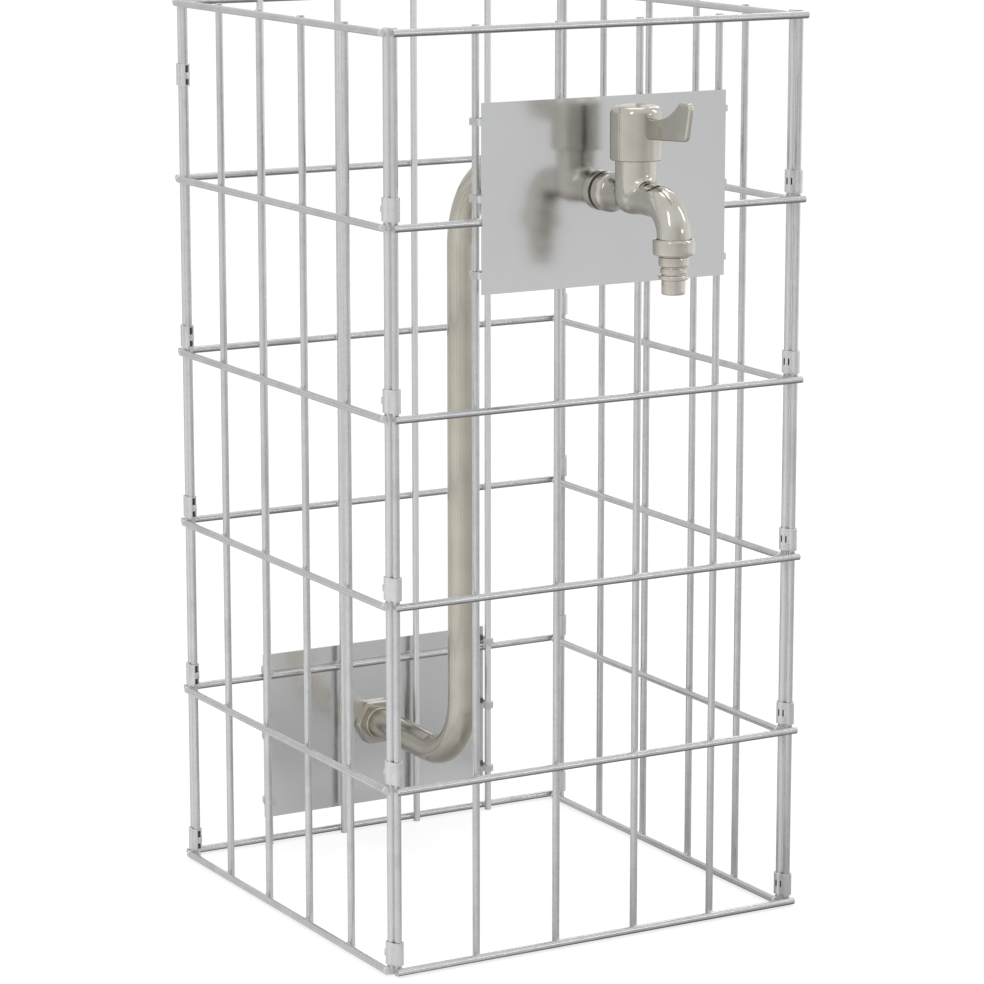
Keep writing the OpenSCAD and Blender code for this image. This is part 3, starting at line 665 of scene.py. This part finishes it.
def union_nut():
    out_r = (nut_box[1].x - nut_box[0].x) / 2
    low, high = nut_box[0].z - tap_z, nut_box[1].z - tap_z
    bore_r, hole_r, lip = 9.45 * MM, 8.25 * MM, 1.25 * MM
    # Rounded corners, as steps in from the outside or the bore and up from the foot or down from the head
    foot = ((1.0 * MM, 0.0), (0.25 * MM, 0.5 * MM), (0.1 * MM, 1.2 * MM))
    head = ((0.0, 1.1 * MM), (0.7 * MM, 0.0))
    mouth = ((0.2 * MM, 0.0), (0.0, 0.4 * MM))
    nut = turned([(hole_r, low)]
                 + [(out_r - inwards, low + up) for inwards, up in foot]
                 + [(out_r - inwards, high - down) for inwards, down in head]
                 + [(bore_r + outwards, high - down) for outwards, down in mouth]
                 + [(bore_r, low + lip), (hole_r, low + lip), (hole_r, low)], 96)
    soften(nut, width=0.22 * MM, segments=3, angle=25)
    smooth(nut, 40)
    return place(nut, outlet_place)


def hose_stem():
    top, low = tail_box[1].z - tap_z, tail_box[0].z - tap_z
    under_nut = nut_box[0].z - tap_z
    neck_high, ridge_high, ridge_low = -31.75 * MM, -36.1 * MM, -38.7 * MM
    flange_r = (tail_box[1].x - tail_box[0].x) / 2
    stem_r, neck_r, tip_r, bore_r = 7.85 * MM, 6.95 * MM, 6.25 * MM, 4.5 * MM
    flange_t = 0.95 * MM
    groove, groove_wide, slope = 0.7 * MM, 0.7 * MM, 0.05 * MM
    chamfer, mouth = 0.5 * MM, 0.3 * MM
    bevel_short, bevel_long = 0.4 * MM, 0.6 * MM
    lead_in, lead_len = 0.2 * MM, 0.8 * MM
    flange = [(bore_r, top), (flange_r, top), (flange_r, top - flange_t), (stem_r, top - flange_t)]
    nut_groove = [(stem_r, under_nut), (stem_r - groove, under_nut - 2 * slope),
                  (stem_r - groove, under_nut - 2 * slope - groove_wide),
                  (stem_r, under_nut - 4 * slope - groove_wide)]
    shoulder = [(stem_r, neck_high + chamfer), (stem_r - chamfer, neck_high)]
    neck = [(neck_r - groove, neck_high - slope), (neck_r - groove, neck_high - groove_wide),
            (neck_r, neck_high - groove_wide - slope), (neck_r, ridge_high + groove_wide),
            (neck_r - groove, ridge_high + groove_wide - slope), (neck_r - groove, ridge_high)]
    ridge = [(stem_r - bevel_short, ridge_high - slope), (stem_r, ridge_high - bevel_long),
             (stem_r, ridge_low + bevel_short), (stem_r - bevel_long, ridge_low)]
    tip = [(tip_r - lead_in, ridge_low - 2 * slope), (tip_r, ridge_low - lead_len), (tip_r, low + chamfer),
           (tip_r - chamfer, low), (bore_r + mouth, low), (bore_r, low + mouth), (bore_r, top)]
    stem = turned(flange + nut_groove + shoulder + neck + ridge + tip, 96)
    soften(stem, width=0.12 * MM, segments=2, angle=25)
    smooth(stem, 40)
    return place(stem, outlet_place)


fit_out(union_nut(), "round_union_nut", "nut", "plated_brass", tap_plating, "hose_union_nut")
fit_out(hose_stem(), "grooved_hose_tail", "tail", "plated_brass", tail_plating, "hose_tail")


# Fittings at the plates

def hex_socket():
    front, back = socket_box[0].y - inlet_y, socket_box[1].y - inlet_y
    across = socket_box[1].z - socket_box[0].z
    hex_len, shoulder_r, rounding = 5.0 * MM, 10.0 * MM, 0.9 * MM
    shoulder_end = back - 0.5 * MM
    pipe_deep, thread_deep = 3.0 * MM, 3.6 * MM
    past = 1.0 * MM
    nut = hexagon(across, back - hex_len, back)
    shoulder = add("cylinder", vertices=96, radius=shoulder_r, depth=shoulder_end - front,
                   location=(0, 0, (shoulder_end + front) / 2))
    soften(shoulder, width=rounding, segments=4, angle=60)
    cut(nut, shoulder, "UNION")
    for radius, low, high in ((pipe_hole_r, front - past, front + pipe_deep),
                              (water_r, front, back),
                              (joint_thread_r + fit_gap, back - thread_deep, back + past)):
        cut(nut, add("cylinder", vertices=72, radius=radius, depth=high - low,
                     location=(0, 0, (low + high) / 2)))
    soften(nut, width=0.2 * MM, segments=2, angle=28)
    smooth(nut, 30)
    modify(nut, "WEIGHTED_NORMAL", keep_sharp=True)
    return place(nut, inlet_place @ lay_down)


def pipe_collar():
    back, front = tap_y - pipe_tail_box[1].y, tap_y - pipe_tail_box[0].y
    out_r = (pipe_tail_box[1].x - pipe_tail_box[0].x) / 2
    pipe_deep = 5.0 * MM
    chamfer = 0.8 * MM
    ring = turned([(water_r, front), (joint_thread_r - chamfer, front), (joint_thread_r, front - chamfer),
                   (joint_thread_r, -plate_t), (out_r, -plate_t), (out_r, back + chamfer),
                   (out_r - chamfer, back), (pipe_hole_r, back), (pipe_hole_r, back + pipe_deep),
                   (water_r, back + pipe_deep), (water_r, front)], 96)
    soften(ring, width=0.2 * MM, segments=3, angle=25)
    smooth(ring, 40)
    return place(ring, tap_place @ lay_down)


def threaded_inlet():
    start, end = inlet_box[0].y - inlet_y, inlet_box[1].y - inlet_y
    washer_t, hex_len, across = 1.0 * MM, 5.0 * MM, 24.0 * MM
    hex_end = washer_t + hex_len
    pitch, crest_r, thread_deep = 1.814 * MM, 10.4775 * MM, 1.1 * MM
    root_r = crest_r - thread_deep
    stub_chamfer, end_chamfer, mouth = 0.8 * MM, 0.9 * MM, 0.5 * MM
    overlap, plain_end = 0.3 * MM, 1.2 * MM
    # The ridge's half width at its foot and at its crest, and where it starts behind the hexagon
    foot, crest, ridge_start = 0.46 * pitch, 0.08 * pitch, hex_end + 0.6 * pitch
    foot_r = root_r - 0.2 * MM
    nut = hexagon(across, washer_t, hex_end)
    soften(nut, width=0.2 * MM, segments=2, angle=25)
    stub = turned([(water_r, start), (joint_thread_r - stub_chamfer, start),
                   (joint_thread_r, start + stub_chamfer), (joint_thread_r, washer_t + overlap),
                   (water_r, washer_t + overlap), (water_r, start)], 72)
    core = turned([(water_r, hex_end - overlap), (root_r, hex_end - overlap), (root_r, end - end_chamfer),
                   (root_r - end_chamfer, end), (water_r + mouth, end), (water_r, end - mouth),
                   (water_r, hex_end - overlap)], 96)
    ridge = add("plane", size=1.0)
    for vertex, (r, h) in zip(ridge.data.vertices,
                              ((foot_r, -foot), (crest_r, -crest), (foot_r, foot), (crest_r, crest))):
        vertex.co = (r, 0, h + ridge_start)
    turns = int((end - hex_end - plain_end) / pitch)
    modify(ridge, "SCREW", steps=64, render_steps=64, iterations=turns, screw_offset=pitch, axis="Z",
           use_normal_calculate=True)
    edit(ridge)
    close_up()
    whole = join([nut, stub, core, ridge])
    smooth(whole, 30)
    return place(whole, inlet_place @ lay_down)


fit_out(hex_socket(), "hexagon_pipe_socket", "standpipe", "plated_brass", pipe_plating, "lower_hex_socket")
fit_out(pipe_collar(), "pipe_end_collar", "standpipe", "plated_brass", pipe_plating, "upper_pipe_tail")
fit_out(threaded_inlet(), "threaded_inlet", "standpipe", "plated_brass", tap_plating, "inlet_connector")


# Corner clips, folded from sheet round a pair of edge wires

def folded_clip(length, form):
    """A clip about the wire at 0, 0 and the one beside it along x. Its form: the tongue lies flush between
    two slots on the +y side ("slots"), stands out of the round end at +x ("tongue"), or is the bridge
    between two holes in the round end at 0 ("holes")."""
    sheet, slack = 0.85 * MM, 0.15 * MM
    mid_r = wire_r + slack + sheet / 2
    tongue, slot, tongue_back = 1.0 * MM, 0.85 * MM, 1.15 * MM
    middle = length - tongue_back
    stops = [middle - tongue - slot, middle - tongue, middle + tongue]
    # Heights of the openings and the tongue, as shares of the clip's
    low_hole, high_hole, slots_up, tongue_up = (0.06, 0.32), (0.62, 0.94), (0.36, 0.66), (0.40, 0.62)
    levels = [share * clip_h for share in sorted({0.0, *low_hole, *high_hole, *slots_up, *tongue_up, 1.0})]
    tongue_way, tongue_reach, tongue_out = math.radians(34), math.radians(22), 0.7 * MM
    half_side = math.radians(5)
    band = add("circle", vertices=36, radius=mid_r, rotation=(0, 0, half_side), fill_type="NOTHING")
    edit(band)
    pick("VERT", lambda v: v.co.x > 0)
    bpy.ops.transform.translate(value=(length, 0, 0))
    pick("EDGE", lambda e: abs(e.verts[0].co.x - e.verts[1].co.x) > length * 0.8)
    bpy.ops.mesh.subdivide(number_cuts=len(stops))
    mesh = bmesh.from_edit_mesh(band.data)
    for side in (-1, 1):
        row = [v for v in mesh.verts if v.co.y * side > mid_r * 0.9 and 0 < v.co.x < length]
        for vertex, x in zip(sorted(row, key=lambda v: v.co.x), stops):
            vertex.co.x = x
    bmesh.update_edit_mesh(band.data)
    pick("EDGE", lambda e: True)
    for low, high in zip(levels, levels[1:]):
        extrude(0, 0, high - low)

    def opened(face):
        spot = face.calc_center_median()
        share = spot.z / clip_h
        if form == "slots":
            beside = tongue < abs(spot.x - middle) < tongue + slot
            return beside and spot.y > mid_r * 0.95 and slots_up[0] < share < slots_up[1]
        in_hole = low_hole[0] < share < low_hole[1] or high_hole[0] < share < high_hole[1]
        return in_hole and spot.x < 0 and spot.y < mid_r * 0.3

    def on_tongue(vertex):
        x, y, z = vertex.co
        level = abs(z / clip_h - sum(tongue_up) / 2) < (tongue_up[1] - tongue_up[0]) / 2 + 0.01
        return level and x > length and abs(math.atan2(y, x - length) - tongue_way) < tongue_reach

    if form == "tongue":
        pick("VERT", on_tongue)
        bpy.ops.transform.translate(
            value=(tongue_out * math.cos(tongue_way), tongue_out * math.sin(tongue_way), 0))
    else:
        pick("FACE", opened)
        bpy.ops.mesh.delete(type="FACE")
    close_up()
    modify(band, "SOLIDIFY", thickness=sheet, offset=0)
    soften(band, width=0.14 * MM, segments=2, angle=40)
    smooth(band, 40)
    return band


def clip_row(name, first, second, form, turn_over, odd_lift):
    """The clips up one corner, each at the height of its solid."""
    span = Vector(second) - Vector(first)
    model = folded_clip(span.length, form)
    facing = Matrix.Rotation(math.atan2(span.y, span.x), 4, "Z")
    if turn_over:
        facing = facing @ Matrix.Translation((span.length, 0, 0)) @ Matrix.Rotation(math.pi, 4, "Z")
    heights = [clip_low + k * cell_h for k in range(cell_count)]
    heights[-1] += odd_lift
    row = [copy(model, Matrix.Translation((*first, height)) @ facing) for height in heights]
    bpy.data.objects.remove(model)
    fit_out(join(row), "folded_" + name, "standpipe", "clip_steel", clip_zinc, name)


clip_row("front_left_clips", (front_shift - half, -half), (-half, -edge), "tongue", False, 0)
clip_row("front_right_clips", (front_shift + half, -half), (half, -edge), "slots", False, 0)
clip_row("back_left_clips", (-half, half), (-half, edge), "holes", True, odd_clip_lift)
clip_row("back_right_clips", (half, half), (half, edge), "holes", False, 0)


# Weld beads where the wires cross

def weld_beads(name, centres, squash):
    bead = add("uv_sphere", segments=14, ring_count=8, radius=1.0)
    size = Matrix.Diagonal((*squash, 1))
    whole = join([copy(bead, Matrix.Translation(spot) @ size) for spot in centres])
    bpy.data.objects.remove(bead)
    only(whole)
    bpy.ops.object.shade_smooth()
    fit_out(whole, name, "standpipe", "galvanised_wire", wire_zinc)


inner = [(k - cell_count / 2) * cell_w for k in range(1, cell_count)]
rail_heights = [rail_low + k * cell_h for k in range(cell_count + 1)]
weld_off = rail_off / 2
bead_wide, bead_deep = 2.25 * MM, 1.35 * MM
flat_to_y, flat_to_x = (bead_wide, bead_deep, bead_wide), (bead_deep, bead_wide, bead_wide)
weld_beads("front_panel_welds",
           [(x, -half - weld_off, z) for x in [front_shift - half, *inner, front_shift + half]
            for z in rail_heights], flat_to_y)
weld_beads("back_panel_welds",
           [(x, half + weld_off, z) for x in [-half, *inner, half] for z in rail_heights], flat_to_y)
weld_beads("left_panel_welds",
           [(-half - weld_off, y, z) for y in [-edge, *inner, edge] for z in rail_heights], flat_to_x)
weld_beads("right_panel_welds",
           [(half - weld_off, y, z) for y in [-edge, *inner, edge] for z in rail_heights], flat_to_x)


# Studio

scene = bpy.context.scene
scene.view_settings.view_transform = "Standard"
white = (1, 1, 1, 1)

# How bright mirrors show the studio round the object, by azimuth in degrees: 0 is in front, 90 at the right
far_round = [(-180, 0.70), (-150, 0.74), (-125, 0.84), (-90, 0.92), (-60, 0.84), (-30, 0.78), (0, 0.61),
             (15, 0.63), (26, 0.72), (38, 0.68), (54, 0.98), (70, 0.98), (100, 1.05),
             (150, 0.92), (180, 0.70)]
near_round = [(-180, 0.66), (-137, 0.78), (-113, 0.90), (-75, 0.96), (-40, 0.87), (-18, 0.70), (0, 0.62),
              (40, 0.52), (65, 0.54), (90, 0.62), (130, 0.78), (180, 0.66)]
# The floor is near up to the first distance and far from the second, in metres
near_end, far_start = 1.2, 1.9


def ways_of_light(tree):
    """1 for what the camera sees directly, for what is mirrored, and for what is seen through glass."""
    path = tree.nodes.new("ShaderNodeLightPath")
    return [Value(tree, path.outputs[n]) for n in ("Is Camera Ray", "Is Glossy Ray", "Is Transmission Ray")]


def surroundings(way, levels):
    """The studio's brightness in the direction of a vector."""
    across, depth = way.xyz()[:2]
    turn = across.maths("ARCTAN2", depth * -1) / (2 * math.pi) + 0.5
    return turn.node("ShaderNodeValToRGB", {"stops": [
        (azimuth / 360 + 0.5, (level,) * 3) for azimuth, level in levels]}, {"Fac": turn})


def studio_world():
    """White to the camera, graded in mirrors, and an even light for the rest."""
    light_level = 0.75
    ceiling = (0.92, 0.92, 0.92, 1)
    walls_end, ceiling_start = 0.15, 0.8
    world = bpy.data.worlds.new("studio")
    scene.world = world
    world.use_nodes = True
    tree = world.node_tree
    tree.nodes.clear()
    seen, mirrored, through = ways_of_light(tree)
    way = Value(tree, tree.nodes.new("ShaderNodeTexCoord").outputs["Generated"])
    height = way.xyz()[2]
    walls = height.clip(walls_end, ceiling_start).mix(surroundings(way, far_round), ceiling)
    light = way.node("ShaderNodeBackground", None, {"Color": white, "Strength": light_level})
    view = way.node("ShaderNodeBackground", None, {"Color": seen.mix(walls, white), "Strength": 1.0})
    shown = seen.maths("MAXIMUM", mirrored.maths("MAXIMUM", through))
    both = way.node("ShaderNodeMixShader", None, {0: shown, 1: light, 2: view})
    out = tree.nodes.new("ShaderNodeOutputWorld")
    tree.links.new(both.socket, out.inputs["Surface"])


def studio_floor():
    """A matt floor that takes the object's shadow, with a glow that makes it white to the camera and
    graded in mirrors. In mirrors the glow is dimmed under the object as a painted shadow."""
    floor_grey = (0.42, 0.42, 0.42, 1)
    seen_glow, lit_level = 0.72, 0.3
    painted_shadow_level, painted_shadow_reach = 0.75, 0.3
    floor_size, floor_z = 40.0, -0.2 * MM
    floor = add("plane", size=floor_size, location=(0, 0, floor_z))
    floor.name = "studio_floor"
    finish = bpy.data.materials.new("pale_floor")
    finish.use_nodes = True
    tree = finish.node_tree
    tree.nodes.clear()
    seen, mirrored, through = ways_of_light(tree)
    matt = seen.node("ShaderNodeBsdfDiffuse", None, {"Color": floor_grey})
    spot = Value(tree, tree.nodes.new("ShaderNodeTexCoord").outputs["Object"])
    away = spot.node("ShaderNodeVectorMath", {"operation": "LENGTH"}, {0: spot}, out=1)
    pale = away.clip(near_end, far_start).mix(surroundings(spot, near_round), surroundings(spot, far_round))
    # Painted shadow: the glow seen in mirrors dims towards the middle under the object
    shaded = away.clip(0.0, painted_shadow_reach) * (1 - painted_shadow_level) + painted_shadow_level
    graded = (pale * shaded - lit_level).maths("MAXIMUM", 0.0)
    strength = seen * seen_glow + mirrored.maths("MAXIMUM", through) * graded
    glow = seen.node("ShaderNodeEmission", None, {"Color": white, "Strength": strength})
    both = seen.node("ShaderNodeAddShader", None, {0: matt, 1: glow})
    out = tree.nodes.new("ShaderNodeOutputMaterial")
    tree.links.new(both.socket, out.inputs["Surface"])
    floor.data.materials.append(finish)


def lamp(name, azimuth, elevation, wide, tall, power):
    """A soft lamp that faces the middle of the object. Azimuth 0 is in front, 90 at the right."""
    distance, aim = 2.6, Vector((0, 0, 0.3))
    a, e = math.radians(azimuth), math.radians(elevation)
    back = Vector((math.sin(a) * math.cos(e), -math.cos(a) * math.cos(e), math.sin(e)))
    data = bpy.data.lights.new(name, "AREA")
    data.shape, data.size, data.size_y, data.energy = "RECTANGLE", wide, tall, power
    made = bpy.data.objects.new(name, data)
    scene.collection.objects.link(made)
    made.location = aim + back * distance
    made.rotation_mode = "QUATERNION"
    made.rotation_quaternion = (-back).to_track_quat("-Z", "Y")


def photo_camera(position, azimuth, elevation, lens):
    """The camera at the photo's viewpoint. It looks to the back and the right by its azimuth, and down."""
    a, e = math.radians(azimuth), math.radians(elevation)
    forward = Vector((math.sin(a) * math.cos(e), math.cos(a) * math.cos(e), -math.sin(e)))
    data = bpy.data.cameras.new("camera")
    data.sensor_width, data.lens, data.clip_end = 36.0, lens, 100.0
    made = bpy.data.objects.new("camera", data)
    scene.collection.objects.link(made)
    scene.camera = made
    made.location = position
    made.rotation_mode = "QUATERNION"
    made.rotation_quaternion = forward.to_track_quat("-Z", "Y")


studio_world()
studio_floor()
lamp("left_panel", azimuth=-52, elevation=34, wide=0.32, tall=1.2, power=3.2)
lamp("right_panel", azimuth=66, elevation=34, wide=0.32, tall=1.2, power=3.2)
lamp("back_panel", azimuth=128, elevation=34, wide=0.32, tall=1.2, power=3.0)
lamp("overhead", azimuth=150, elevation=75, wide=1.4, tall=1.4, power=6)
lamp("low_front", azimuth=29, elevation=12, wide=0.5, tall=0.25, power=1.1)
photo_camera(position=(-1.0374, -1.8233, 0.6565), azimuth=29.79, elevation=11.507, lens=137.98)
